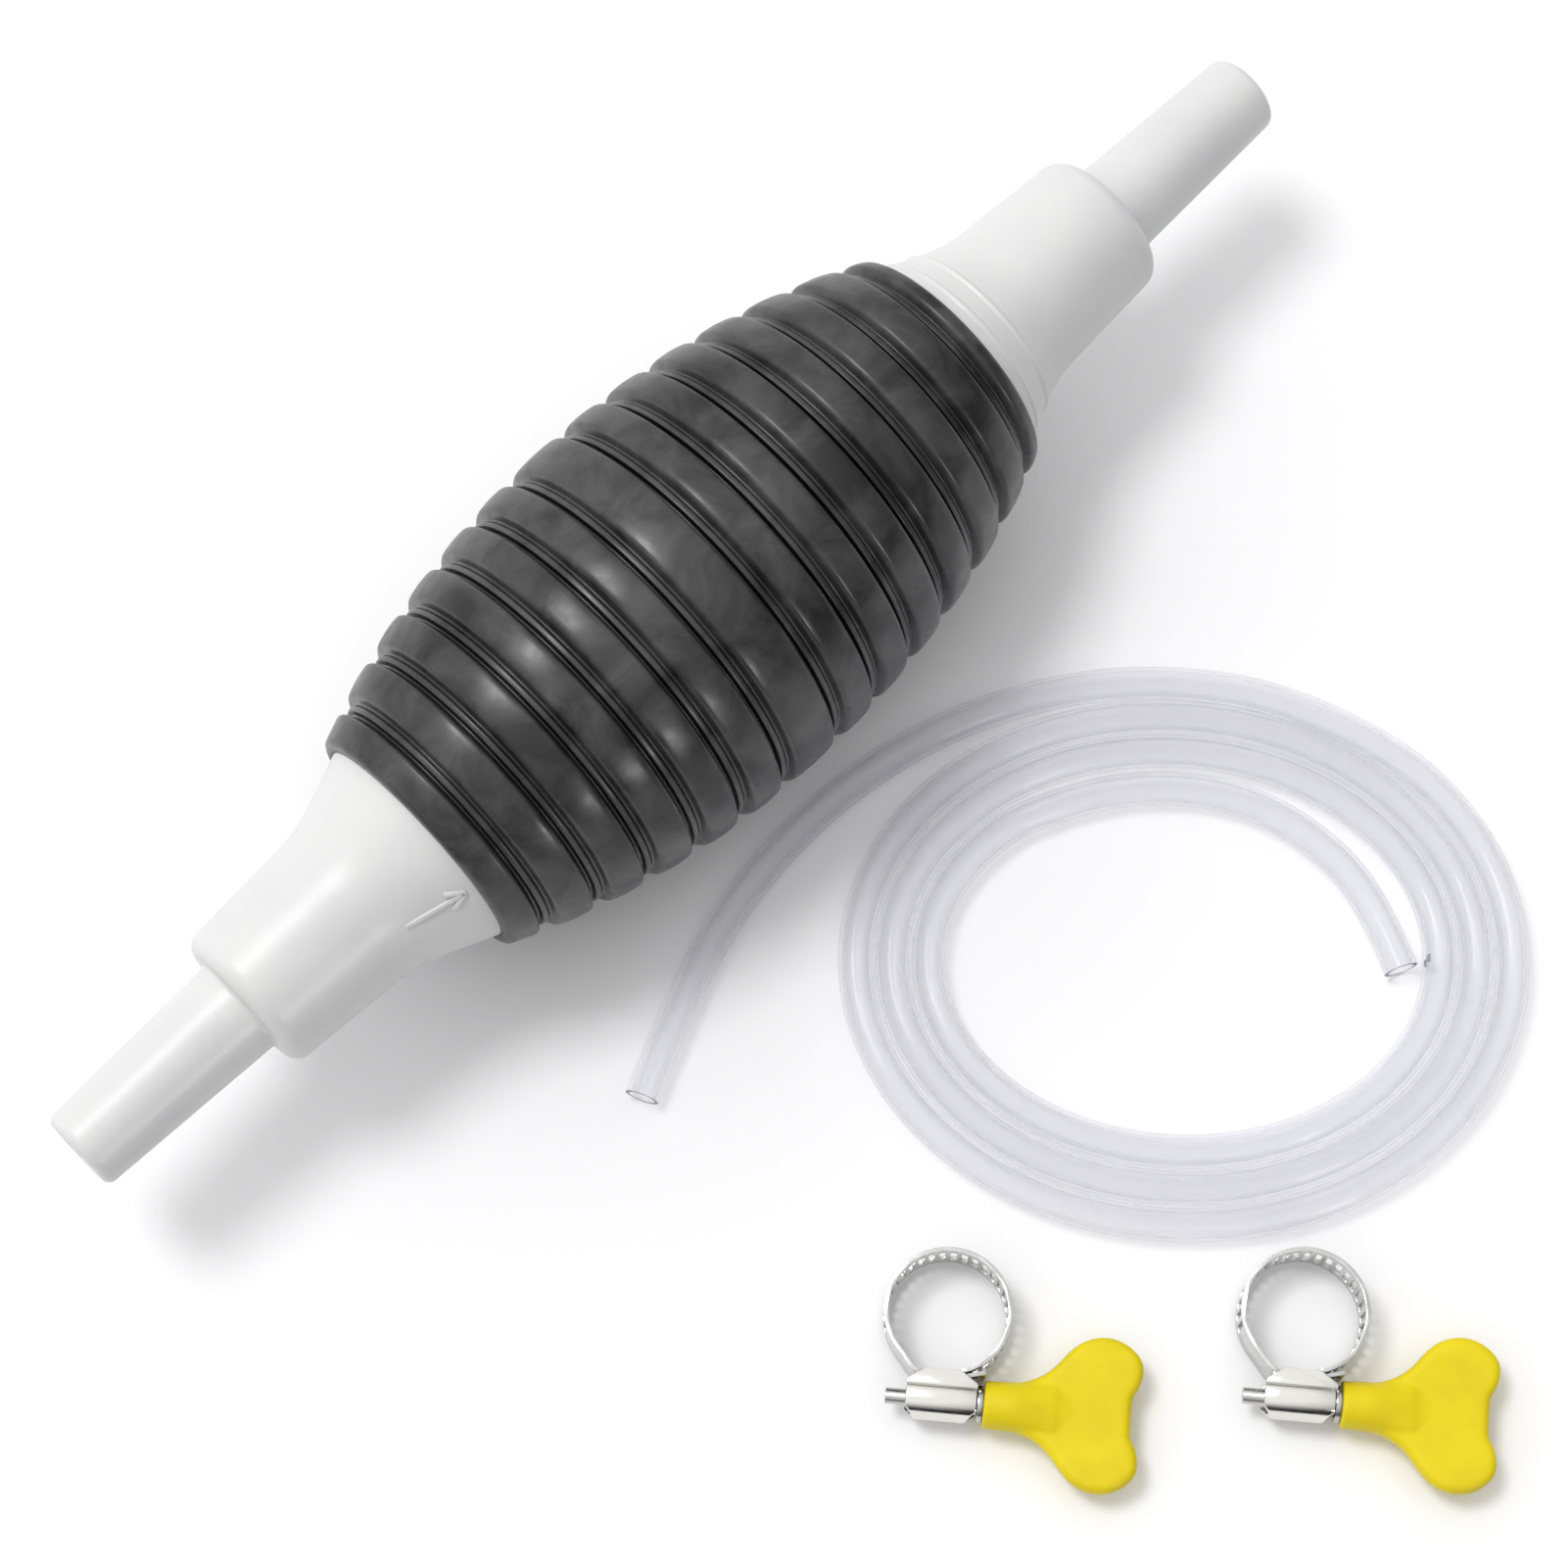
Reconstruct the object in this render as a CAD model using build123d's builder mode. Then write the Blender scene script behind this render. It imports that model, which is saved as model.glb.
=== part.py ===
from build123d import *
import os
from math import asin, cos, degrees, hypot, pi, radians, sin, sqrt, tan

os.makedirs("parts", exist_ok=True)

# Hand siphon pump kit, in millimetres. The pump lies on its belly with its axis along X, the inlet at -X
# and the outlet at +X. The origin is on the floor under the middle of the bulb.

# Hose
hose_od = 4.5
hose_id = 3.5

# Squeeze bulb
bulb_length = 93.0
bulb_belly_radius = 26.2
bulb_wall = 3.0
lip_wall = 1.6
lip_length = 5.7
bulb_end_round = 0.9
wide_rib = 9.0
wide_rib_centre = -2.5
inlet_grooves = 6
outlet_grooves = 7
inlet_collar = 5.0
outlet_collar = 3.1
groove_width = 1.7
groove_depth = 1.0
rib_round = 0.55
groove_floor_round = 0.3

# End fittings
nozzle_length = 26.5
nozzle_tip_radius = 5.5
nozzle_base_radius = 6.5
socket_depth = 15.0
shoulder_round = 2.2
chamber_length = 19.7
chamber_bore_radius = 8.05
chamber_wall = 2.0
chamber_draft = 1.2
chamber_floor = 2.5
flare_length = 9.8
flare_blend = 22.0
rim_radius = 15.2
rim_wall = 2.0
bead_height = 0.5
bead_length = 2.0
bead_gap = 0.2
tip_round = 1.2
base_round = 0.6
base_round_share = 0.2
shoulder_round_share = 0.65
lip_clearance = 0.1

# Flow arrow on the inlet bell, and the faint rings on the outlet bell
arrow_length = 8.6
arrow_line = 0.6
arrow_head = 2.6
arrow_head_turn = 28.0
arrow_relief = 0.35
arrow_embed = 0.8
arrow_gap = 0.8
arrow_turn = 50.0
ring_line_count = 2
ring_line_start = 2.3
ring_line_radius = 0.5
ring_line_relief = 0.3
ring_line_pitch = 3.2

# Check valves
press_gap = 0.02
seat_thickness = 3.0
seat_bore_radius = 2.6
seat_mouth_radius = 4.6
ball_radius = 4.5
ball_clearance = 0.05
spring_wire = 0.6
spring_radius = 3.0
spring_turns = 3
spring_length = 4.0
retainer_thickness = 2.0
retainer_ring = 1.7
retainer_arm = 1.6
retainer_arms = 3

# Loose oval coil of hose beside the pump, in the kit's layout frame
layout_turn = -44.35
coil_right = 63.0
coil_away = -40.5
coil_half_width = 44.95
coil_half_depth = 37.6
coil_gap = 0.25
coil_turns = 3
coil_edge_round = 1.5
outer_tail_turns = 0.08
inner_tail_turns = 0.09
bend_share = 0.45
outer_tail_points = [(-5.8, -59.1), (-0.6, -45.0), (7.6, -30.6), (19.5, -17.9), (34.0, -8.6), (49.5, -3.6),
                     (64.0, -2.7), (78.0, -5.0)]
# The inner tail's corners, as shares of the coil's half width and half depth at its last turn
inner_tail_shares = [(-0.5537, 0.8522), (-0.1629, 0.9979), (0.2769, 0.9507), (0.6352, 0.7066),
                     (0.8795, 0.3469), (0.9902, -0.0642)]

# Worm-drive clamps
clamp_places = [(32.9, -87.6), (77.4, -87.6)]
clamp_turn = -5.5
band_inner_radius = 7.5
band_thickness = 0.5
band_width = 7.5
band_start = -73.0
band_sweep = 297.0
lap_start = 250.0
lap_end = 286.0
lap_gap = 0.1
slot_width = 0.8
slot_length = 4.6
slot_first = -60.0
slot_range = 270.0
housing_length = 8.8
housing_sheet = 0.6
housing_gap = 0.1
housing_corner = 1.3
bridge_arc = 30.0
worm_radius = 1.9
worm_root_radius = 1.4
worm_pitch = 1.5
worm_clearance = 0.1
worm_end_space = 1.0
thread_foot = 1.2
thread_crest = 0.45
thread_sink = 0.1
screw_tip_radius = 1.0
screw_tip_length = 2.4
screw_collar_radius = 2.3
screw_collar_length = 0.8
screw_shank_length = 7.0
screw_end_gap = 0.1
key_length = 19.6
key_half_height = 9.75
key_neck_radius = 2.95
key_neck_length = 8.8
key_neck_flare = 0.4
key_cone_length = 3.2
key_cone_sink = 0.4
key_thickness = 3.0
key_edge_round = 1.1
# the wing's edge, as shares of the key's length and half height, from where it leaves the neck to its middle
wing_curve = [(0.42, 0.53), (0.56, 0.85), (0.755, 1.0), (0.93, 0.87), (1.0, 0.64), (0.96, 0.31), (0.94, 0.0)]


def save(builder, name):
    """Labels a finished piece and writes its STEP file."""
    builder.part.label = name
    export_step(builder.part, f"parts/{name}.step")


def on_floor(right, away, height=0.0):
    """A point of the layout frame, in the row frame."""
    turn = radians(layout_turn)
    return (right * cos(turn) - away * sin(turn), right * sin(turn) + away * cos(turn), height)


# Places that follow from the sizes above
axis_height = bulb_belly_radius
half_bulb = bulb_length / 2
bulb_end_radius = rim_radius + lip_clearance + lip_wall
rim_length = lip_length + bead_gap + bead_length
shoulder_radius = chamber_bore_radius + chamber_wall
chamber_end_radius = shoulder_radius + chamber_draft
shoulder_x = half_bulb + flare_length + chamber_length
tip_x = shoulder_x + nozzle_length
chamber_floor_x = shoulder_x - chamber_floor
pump_axis = Axis((0, 0, axis_height), (1, 0, 0))
section_plane = Plane(origin=(0, 0, axis_height), x_dir=(1, 0, 0), z_dir=(0, -1, 0))

# A ball rests on a 45-degree seat, its spring stands on the ball, and the retainer closes the stack
ball_offset = seat_thickness - seat_mouth_radius + (ball_radius + ball_clearance) * sqrt(2)
spring_start = ball_offset + sqrt((ball_radius + spring_wire / 2) ** 2 - spring_radius**2) + ball_clearance
retainer_start = spring_start + spring_length + spring_wire / 2 + ball_clearance
valve_stack = retainer_start + retainer_thickness
retainer_hub_radius = spring_radius + spring_wire
insert_radius = chamber_bore_radius - press_gap


# ---------------------------------------------------------------- bulb
bulb_rise = bulb_belly_radius - bulb_end_radius
bulb_arc_radius = (half_bulb**2 + bulb_rise**2) / (2 * bulb_rise)
bulb_arc_centre = bulb_belly_radius - bulb_arc_radius
lip_bore_radius = rim_radius + lip_clearance
lip_end_x = half_bulb - lip_length
cavity_end_radius = rim_radius + bead_height + 3 * lip_clearance
cavity_belly_radius = bulb_belly_radius - bulb_wall

first_inlet = wide_rib_centre - wide_rib / 2
last_inlet = -half_bulb + inlet_collar
first_outlet = wide_rib_centre + wide_rib / 2
last_outlet = half_bulb - outlet_collar
inlet_pitch = (last_inlet - first_inlet) / (inlet_grooves - 1)
outlet_pitch = (last_outlet - first_outlet) / (outlet_grooves - 1)
groove_places = [first_inlet + i * inlet_pitch for i in range(inlet_grooves)]
groove_places += [first_outlet + i * outlet_pitch for i in range(outlet_grooves)]


def from_arc_centre(vertex):
    """How far a corner of the bulb's section is from the centre of the bulb's outer arc."""
    return hypot(vertex.X, vertex.Y - bulb_arc_centre)


with BuildPart() as bulb:
    with BuildSketch(section_plane) as wall:
        with BuildLine():
            ThreePointArc((-half_bulb, bulb_end_radius), (0, bulb_belly_radius), (half_bulb, bulb_end_radius))
            Polyline(
                (half_bulb, bulb_end_radius),
                (half_bulb, lip_bore_radius),
                (lip_end_x, lip_bore_radius),
                (lip_end_x, cavity_end_radius),
            )
            ThreePointArc(
                (lip_end_x, cavity_end_radius), (0, cavity_belly_radius), (-lip_end_x, cavity_end_radius)
            )
            Polyline(
                (-lip_end_x, cavity_end_radius),
                (-lip_end_x, lip_bore_radius),
                (-half_bulb, lip_bore_radius),
                (-half_bulb, bulb_end_radius),
            )
        make_face()
        for x in groove_places:
            tilt = asin(x / bulb_arc_radius)
            mid = bulb_arc_radius - groove_depth / 2 + rib_round / 2
            with Locations((mid * sin(tilt), bulb_arc_centre + mid * cos(tilt))):
                Rectangle(groove_width, groove_depth + rib_round, rotation=-degrees(tilt), mode=Mode.SUBTRACT)
        corners = wall.vertices()
        rib_corners = corners.filter_by(
            lambda v: abs(from_arc_centre(v) - bulb_arc_radius) < 0.01 and abs(v.X) < half_bulb - 0.01
        )
        floor_radius = bulb_arc_radius - groove_depth
        floor_corners = corners.filter_by(lambda v: abs(from_arc_centre(v) - floor_radius) < 0.05)
        end_corners = corners.filter_by(
            lambda v: abs(abs(v.X) - half_bulb) < 0.01 and v.Y > bulb_end_radius - 0.01
        )
        fillet(rib_corners, rib_round)
        fillet(floor_corners, groove_floor_round)
        fillet(end_corners, bulb_end_round)
    revolve(axis=pump_axis)
save(bulb, "bulb")


# ---------------------------------------------------------------- end fittings
def fitting_outline(side):
    """The section of a fitting above the pump's axis, with side -1 for the inlet and 1 for the outlet."""
    bead_x = half_bulb - rim_length
    inner_rim = rim_radius - rim_wall
    points = [
        (tip_x, hose_od / 2),
        (tip_x, nozzle_tip_radius),
        (shoulder_x, nozzle_base_radius),
        (shoulder_x, shoulder_radius),
        (half_bulb + flare_length, chamber_end_radius),
        (half_bulb, rim_radius),
        (bead_x + bead_length, rim_radius),
        (bead_x + bead_length, rim_radius + bead_height),
        (bead_x, rim_radius + bead_height / 2),
        (bead_x, inner_rim),
        (half_bulb, inner_rim),
        (chamber_floor_x - valve_stack, chamber_bore_radius),
        (chamber_floor_x, chamber_bore_radius),
        (chamber_floor_x, hose_id / 2),
        (tip_x - socket_depth, hose_id / 2),
        (tip_x - socket_depth, hose_od / 2),
    ]
    return [(side * x, r) for x, r in points]


def near(corners, point):
    """The corner of a section that lies at a point of the section plane."""
    return corners.sort_by_distance((point[0], point[1], 0))[0]


def make_fitting(end, side):
    outline = fitting_outline(side)
    nozzle_step = shoulder_radius - nozzle_base_radius
    with BuildPart() as fitting:
        with BuildSketch(section_plane) as wall:
            with BuildLine():
                Polyline(*outline, close=True)
            make_face()
            fillet(near(wall.vertices(), outline[1]), tip_round)
            fillet(near(wall.vertices(), outline[2]), min(base_round, base_round_share * nozzle_step))
            fillet(near(wall.vertices(), outline[3]), min(shoulder_round, shoulder_round_share * nozzle_step))
            fillet(near(wall.vertices(), outline[4]), flare_blend)
        revolve(axis=pump_axis)
        cone_slope = (rim_radius - chamber_end_radius) / flare_length
        if side < 0:
            # the raised arrow lies on the bell and points at the bulb
            cone_angle = degrees(asin(cone_slope / sqrt(1 + cone_slope**2)))
            middle_x = half_bulb + arrow_gap + arrow_length / 2
            middle_r = rim_radius - cone_slope * (middle_x - half_bulb)
            lean = radians(arrow_turn)
            outward = Vector(
                -sin(radians(cone_angle)),
                -sin(lean) * cos(radians(cone_angle)),
                cos(lean) * cos(radians(cone_angle)),
            )
            along = Vector(
                cos(radians(cone_angle)),
                -sin(lean) * sin(radians(cone_angle)),
                cos(lean) * sin(radians(cone_angle)),
            )
            foot = Vector(-middle_x, -sin(lean) * middle_r, axis_height + cos(lean) * middle_r)
            arrow_plane = Plane(origin=foot - outward * arrow_embed, x_dir=along, z_dir=outward)
            with BuildSketch(arrow_plane):
                Rectangle(arrow_length, arrow_line)
                for lift in (1, -1):
                    with Locations((arrow_length / 2 - arrow_head / 2, lift * arrow_head / 4)):
                        Rectangle(arrow_head, arrow_line, rotation=-lift * arrow_head_turn)
            extrude(amount=arrow_embed + arrow_relief)
        else:
            with BuildSketch(section_plane):
                for i in range(ring_line_count):
                    x = half_bulb + ring_line_start + i * ring_line_pitch
                    r = rim_radius - cone_slope * (x - half_bulb) - ring_line_radius + ring_line_relief
                    with Locations((x, r)):
                        Circle(ring_line_radius)
            revolve(axis=pump_axis)
    save(fitting, f"{end}_fitting")


make_fitting("inlet", -1)
make_fitting("outlet", 1)


# ---------------------------------------------------------------- check valves
def across(x):
    """The plane across the pump's axis at x, facing the outlet."""
    return Plane(origin=(x, 0, axis_height), x_dir=(0, 1, 0), z_dir=(1, 0, 0))


def make_valve(end, start):
    """One check valve that opens towards the outlet: seat, ball, spring and retainer, from start along X."""
    with BuildPart() as seat:
        with BuildSketch(section_plane):
            with BuildLine():
                Polyline(
                    (start, seat_bore_radius),
                    (start, insert_radius),
                    (start + seat_thickness, insert_radius),
                    (start + seat_thickness, seat_mouth_radius),
                    (start + seat_thickness - seat_mouth_radius + seat_bore_radius, seat_bore_radius),
                    close=True,
                )
            make_face()
        revolve(axis=pump_axis)
    save(seat, f"{end}_valve_seat")

    with BuildPart(across(start + ball_offset)) as ball:
        Sphere(ball_radius)
    save(ball, f"{end}_valve_ball")

    with BuildPart() as spring:
        with BuildLine():
            coil = Helix(
                pitch=spring_length / spring_turns,
                height=spring_length,
                radius=spring_radius,
                center=(start + spring_start, 0, axis_height),
                direction=(1, 0, 0),
            )
        with BuildSketch(Plane(origin=coil @ 0, z_dir=coil % 0)):
            Circle(spring_wire / 2)
        sweep(path=coil, is_frenet=True)
    save(spring, f"{end}_valve_spring")

    with BuildPart() as retainer:
        with BuildSketch(across(start + retainer_start)):
            Circle(insert_radius)
            Circle(insert_radius - retainer_ring, mode=Mode.SUBTRACT)
            Circle(retainer_hub_radius)
            with PolarLocations(insert_radius / 2, retainer_arms):
                Rectangle(insert_radius - retainer_ring / 2, retainer_arm)
            Circle(retainer_hub_radius - retainer_ring, mode=Mode.SUBTRACT)
        extrude(amount=retainer_thickness)
    save(retainer, f"{end}_valve_retainer")


make_valve("inlet", -chamber_floor_x)
make_valve("outlet", chamber_floor_x - valve_stack)


# ---------------------------------------------------------------- hose
def tail_path(points):
    """Corners of a free stretch of hose, and its bend radii, each as large as the shorter run allows."""
    corners = [Vector(*on_floor(right, away, hose_od / 2)) for right, away in points]
    radii = []
    for before, corner, after in zip(corners, corners[1:], corners[2:]):
        run_in, run_out = corner - before, after - corner
        half_turn = radians(run_in.get_angle(run_out)) / 2
        radii.append(bend_share * min(run_in.length, run_out.length) / tan(half_turn))
    return corners, radii


def make_tail(name, points):
    corners, radii = tail_path(points)
    with BuildPart() as tail:
        with BuildLine():
            route = FilletPolyline(*corners, radius=radii)
        with BuildSketch(Plane(origin=route @ 0, z_dir=route % 0)):
            Circle(hose_od / 2)
        sweep()
    save(tail, name)
    fullness = tail.part.volume / (pi * hose_od**2 / 4 * route.length)
    print(name, "length", round(route.length, 1), "volume / (section x length)", round(fullness, 4))
    print(name, "radii", [round(radius, 1) for radius in radii])
    return route.length


def coil_reach(half, turns):
    """Half the width or depth of the coil's centre line after some turns, counted inwards from the top."""
    return half - (hose_od + coil_gap) * turns


last_half_width = coil_reach(coil_half_width, coil_turns)
last_half_depth = coil_reach(coil_half_depth, coil_turns)
inner_tail_points = [
    (coil_right + wide * last_half_width, coil_away + deep * last_half_depth)
    for wide, deep in inner_tail_shares
]
outer_length = make_tail("hose_outer_tail", outer_tail_points)
inner_length = make_tail("hose_inner_tail", inner_tail_points)

# The coil is a flat oval spiral. Its solid runs from the first turn's outer edge to the last's inner edge.
right_edge = coil_right + coil_reach(coil_half_width, 0.25) + hose_od / 2
left_edge = coil_right - coil_reach(coil_half_width, 0.75) - hose_od / 2
near_edge = coil_away - coil_reach(coil_half_depth, 0.5) - hose_od / 2
far_edge = coil_away + coil_reach(coil_half_depth, 1.0) + hose_od / 2
inner_right = coil_right + coil_reach(coil_half_width, coil_turns - 0.75) - hose_od / 2
inner_left = coil_right - coil_reach(coil_half_width, coil_turns - 0.25) + hose_od / 2
inner_near = coil_away - coil_reach(coil_half_depth, coil_turns - 0.5) + hose_od / 2
inner_far = coil_away + coil_reach(coil_half_depth, coil_turns - 1.0) - hose_od / 2
layout_plane = Plane(origin=(0, 0, 0), x_dir=on_floor(1, 0), z_dir=(0, 0, 1))

with BuildPart() as hose_coil:
    with BuildSketch(layout_plane):
        with Locations(((left_edge + right_edge) / 2, (near_edge + far_edge) / 2)):
            Ellipse((right_edge - left_edge) / 2, (far_edge - near_edge) / 2)
        with Locations(((inner_left + inner_right) / 2, (inner_near + inner_far) / 2)):
            Ellipse((inner_right - inner_left) / 2, (inner_far - inner_near) / 2, mode=Mode.SUBTRACT)
    extrude(amount=hose_od)
    fillet(hose_coil.edges(), coil_edge_round)
save(hose_coil, "hose_coil")

# The length of the spiral between the turns that the two tails take over, summed over short steps
steps = 720
coil_length = 0.0
wound_turns = coil_turns - outer_tail_turns - inner_tail_turns
for i in range(steps):
    turn = outer_tail_turns + wound_turns * (i + 0.5) / steps
    wide, deep = coil_reach(coil_half_width, turn), coil_reach(coil_half_depth, turn)
    coil_length += 2 * pi * wound_turns / steps * hypot(wide * cos(2 * pi * turn), deep * sin(2 * pi * turn))
print("hose length", round(outer_length + coil_length + inner_length, 1))


# ---------------------------------------------------------------- clamps
band_middle_radius = band_inner_radius + band_thickness / 2
bridge_outer = band_inner_radius + housing_sheet
lap_inner = bridge_outer + lap_gap
lap_outer = lap_inner + band_thickness
lap_middle_radius = lap_inner + band_thickness / 2
leg_inside = housing_sheet + housing_gap
band_middle = leg_inside + band_width / 2
screw_away = -(lap_outer + worm_clearance + worm_radius)
arch_inner = worm_radius + worm_clearance
arch_outer = arch_inner + housing_sheet
housing_half_height = band_width / 2 + leg_inside
shoulder_inner = lap_outer + 2 * housing_gap
shoulder_outer = shoulder_inner + housing_sheet
collar_start = housing_length / 2 + screw_end_gap
key_start = collar_start + screw_collar_length
lap_tilt = radians(lap_end - 270)
band_tail = (key_start - lap_middle_radius * sin(lap_tilt)) / cos(lap_tilt) - lap_gap
slot_step = degrees(worm_pitch / band_middle_radius)
slot_count = int(slot_range / slot_step) + 1
worm_turns = int((housing_length - worm_end_space) / worm_pitch)


def make_clamp(name, place):
    """One clamp, with its ring's axis upright and its screw beside the ring, nearly level in the layout."""
    turn = radians(layout_turn + clamp_turn)
    right = Vector(cos(turn), sin(turn), 0)
    away = Vector(-sin(turn), cos(turn), 0)
    centre = Vector(*on_floor(*place))
    plan = Plane(origin=centre, x_dir=right, z_dir=(0, 0, 1))
    band_plane = plan.offset(leg_inside)
    screw_centre = centre + away * screw_away + Vector(0, 0, band_middle)
    cross = Plane(origin=centre + Vector(0, 0, band_middle), x_dir=away, z_dir=right)
    screw_axis = Axis(screw_centre, right)
    screw_section = Plane(origin=screw_centre, x_dir=right, z_dir=-away)

    with BuildPart() as band:
        # one strip: round the ring, out over the saddle's bridge, under the worm and off as a free tail
        with BuildSketch(band_plane):
            with BuildLine():
                ring = CenterArc((0, 0), band_middle_radius, band_start, band_sweep)
                lap = CenterArc((0, 0), lap_middle_radius, lap_start, lap_end - lap_start)
                Spline(ring @ 1, lap @ 0, tangents=[ring % 1, lap % 0])
                Line(lap @ 1, lap @ 1 + (lap % 1) * band_tail)
            trace(line_width=band_thickness)
        extrude(amount=band_width)
        with Locations(plan.offset(band_middle)):
            with PolarLocations(band_middle_radius, slot_count, slot_first, slot_step * (slot_count - 1)):
                Box(4 * band_thickness, slot_width, slot_length, mode=Mode.SUBTRACT)
    save(band, f"{name}_band")

    with BuildPart() as housing:
        with BuildSketch(cross):
            with BuildLine() as half:
                Polyline(
                    (-shoulder_inner, arch_inner),
                    (-shoulder_inner, housing_half_height - housing_sheet),
                    (0, housing_half_height - housing_sheet),
                    (0, housing_half_height),
                    (-shoulder_outer, housing_half_height),
                    (-shoulder_outer, arch_outer),
                    (screw_away, arch_outer),
                )
                ThreePointArc(
                    (screw_away, arch_outer),
                    (screw_away - arch_outer * sin(pi / 4), arch_outer * cos(pi / 4)),
                    (screw_away - arch_outer, 0),
                )
                Line((screw_away - arch_outer, 0), (screw_away - arch_inner, 0))
                ThreePointArc(
                    (screw_away - arch_inner, 0),
                    (screw_away - arch_inner * sin(pi / 4), arch_inner * cos(pi / 4)),
                    (screw_away, arch_inner),
                )
                Line((screw_away, arch_inner), (-shoulder_inner, arch_inner))
            make_face()
            mirror(about=Plane.XZ)
        extrude(amount=housing_length / 2, both=True)
        with BuildSketch(plan):
            with BuildLine():
                half_length = housing_length / 2
                bridge_half = band_inner_radius * sin(radians(bridge_arc / 2))
                bridge_root = -band_inner_radius * cos(radians(bridge_arc / 2))
                crown = screw_away - arch_outer
                left_root, right_root = (-bridge_half, bridge_root), (bridge_half, bridge_root)
                ThreePointArc(left_root, (0, -band_inner_radius), right_root)
                Polyline(
                    right_root,
                    (half_length, -shoulder_inner),
                    (half_length, crown + housing_corner),
                    (half_length - housing_corner, crown),
                    (-half_length + housing_corner, crown),
                    (-half_length, crown + housing_corner),
                    (-half_length, -shoulder_inner),
                    left_root,
                )
            make_face()
        extrude(amount=2 * housing_half_height, mode=Mode.INTERSECT)
        with BuildSketch(plan):
            with BuildLine():
                bridge_middle = (band_inner_radius + bridge_outer) / 2
                CenterArc((0, 0), bridge_middle, 270 - bridge_arc / 2, bridge_arc)
            trace(line_width=housing_sheet)
        extrude(amount=2 * housing_half_height)
    save(housing, f"{name}_housing")

    with BuildPart() as screw:
        thread_half = worm_pitch * worm_turns / 2
        with BuildSketch(screw_section):
            with BuildLine():
                Polyline(
                    (-collar_start - screw_tip_length, 0),
                    (-collar_start - screw_tip_length, screw_tip_radius),
                    (-collar_start, screw_tip_radius),
                    (-thread_half, worm_root_radius),
                    (collar_start, worm_root_radius),
                    (collar_start, screw_collar_radius),
                    (key_start, screw_collar_radius),
                    (key_start, worm_root_radius),
                    (key_start + screw_shank_length, worm_root_radius),
                    (key_start + screw_shank_length, 0),
                    close=True,
                )
            make_face()
            for i in range(worm_turns):
                x = -thread_half + (i + 0.5) * worm_pitch
                with BuildLine():
                    Polyline(
                        (x - thread_foot / 2, worm_root_radius - thread_sink),
                        (x - thread_crest / 2, worm_radius),
                        (x + thread_crest / 2, worm_radius),
                        (x + thread_foot / 2, worm_root_radius - thread_sink),
                        close=True,
                    )
                make_face()
        revolve(axis=screw_axis)
    save(screw, f"{name}_worm_screw")

    with BuildPart() as key:
        wing_plane = plan.offset(band_middle - key_thickness / 2)
        with BuildSketch(wing_plane):
            with BuildLine():
                outline = [(0, key_neck_radius), (key_neck_length / 2, key_neck_radius + key_neck_flare / 2)]
                outline += [(along * key_length, across * key_half_height) for along, across in wing_curve]
                for lift in (1, -1):
                    placed = [(key_start + x, screw_away + lift * y) for x, y in outline]
                    Spline(*placed, tangents=[(1, 0), (0, -lift)])
                Line((key_start, screw_away - key_neck_radius), (key_start, screw_away + key_neck_radius))
            make_face()
        extrude(amount=key_thickness)
        wing_edges = key.edges().filter_by(
            lambda e: abs(e.center().Z - band_middle) > key_thickness / 2 - 0.01
            and (e.center() - screw_centre).dot(right) > key_start + 1
        )
        fillet(wing_edges, key_edge_round)
        with BuildSketch(screw_section):
            with BuildLine():
                Polyline(
                    (key_start, 0),
                    (key_start, key_neck_radius),
                    (key_start + key_neck_length, key_neck_radius + key_neck_flare),
                    (key_start + key_neck_length + key_cone_length, key_thickness / 2 - key_cone_sink),
                    (key_start + key_neck_length + key_cone_length, 0),
                    close=True,
                )
            make_face()
        revolve(axis=screw_axis)
        with BuildSketch(Plane(origin=screw_centre + right * key_start, x_dir=away, z_dir=right)):
            Circle(worm_root_radius)
        extrude(amount=screw_shank_length, mode=Mode.SUBTRACT)
    save(key, f"{name}_thumb_key")


for number, place in enumerate(clamp_places, 1):
    make_clamp(f"clamp_{number}", place)
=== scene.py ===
import bpy
from math import acos, asin, cos, hypot, pi, radians, sin, tan
from mathutils import Matrix, Vector


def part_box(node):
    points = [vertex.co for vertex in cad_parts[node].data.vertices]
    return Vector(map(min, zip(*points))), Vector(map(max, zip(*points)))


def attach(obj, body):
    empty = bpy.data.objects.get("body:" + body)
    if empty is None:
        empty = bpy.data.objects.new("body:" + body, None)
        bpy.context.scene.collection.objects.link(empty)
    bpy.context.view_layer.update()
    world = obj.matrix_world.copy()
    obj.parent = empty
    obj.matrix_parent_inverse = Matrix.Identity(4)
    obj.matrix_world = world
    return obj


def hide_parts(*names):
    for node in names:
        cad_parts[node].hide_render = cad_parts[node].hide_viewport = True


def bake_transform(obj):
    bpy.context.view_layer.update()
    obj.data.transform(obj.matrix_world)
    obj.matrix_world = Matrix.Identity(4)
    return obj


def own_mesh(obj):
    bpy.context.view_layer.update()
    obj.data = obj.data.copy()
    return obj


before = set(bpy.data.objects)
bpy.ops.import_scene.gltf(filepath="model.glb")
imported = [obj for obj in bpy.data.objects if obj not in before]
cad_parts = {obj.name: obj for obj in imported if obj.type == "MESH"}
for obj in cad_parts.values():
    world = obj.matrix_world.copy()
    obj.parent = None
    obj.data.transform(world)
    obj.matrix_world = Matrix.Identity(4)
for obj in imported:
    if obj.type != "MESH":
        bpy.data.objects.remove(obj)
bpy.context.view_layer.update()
mm = 0.001
layoutTurn = radians(-44.35)        # the coil and the clamps are laid out square to the camera
clampTurn = radians(-5.5)           # the clamps lie a little further round
pumpHeight = (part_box("bulb")[0].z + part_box("bulb")[1].z) / 2
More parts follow.
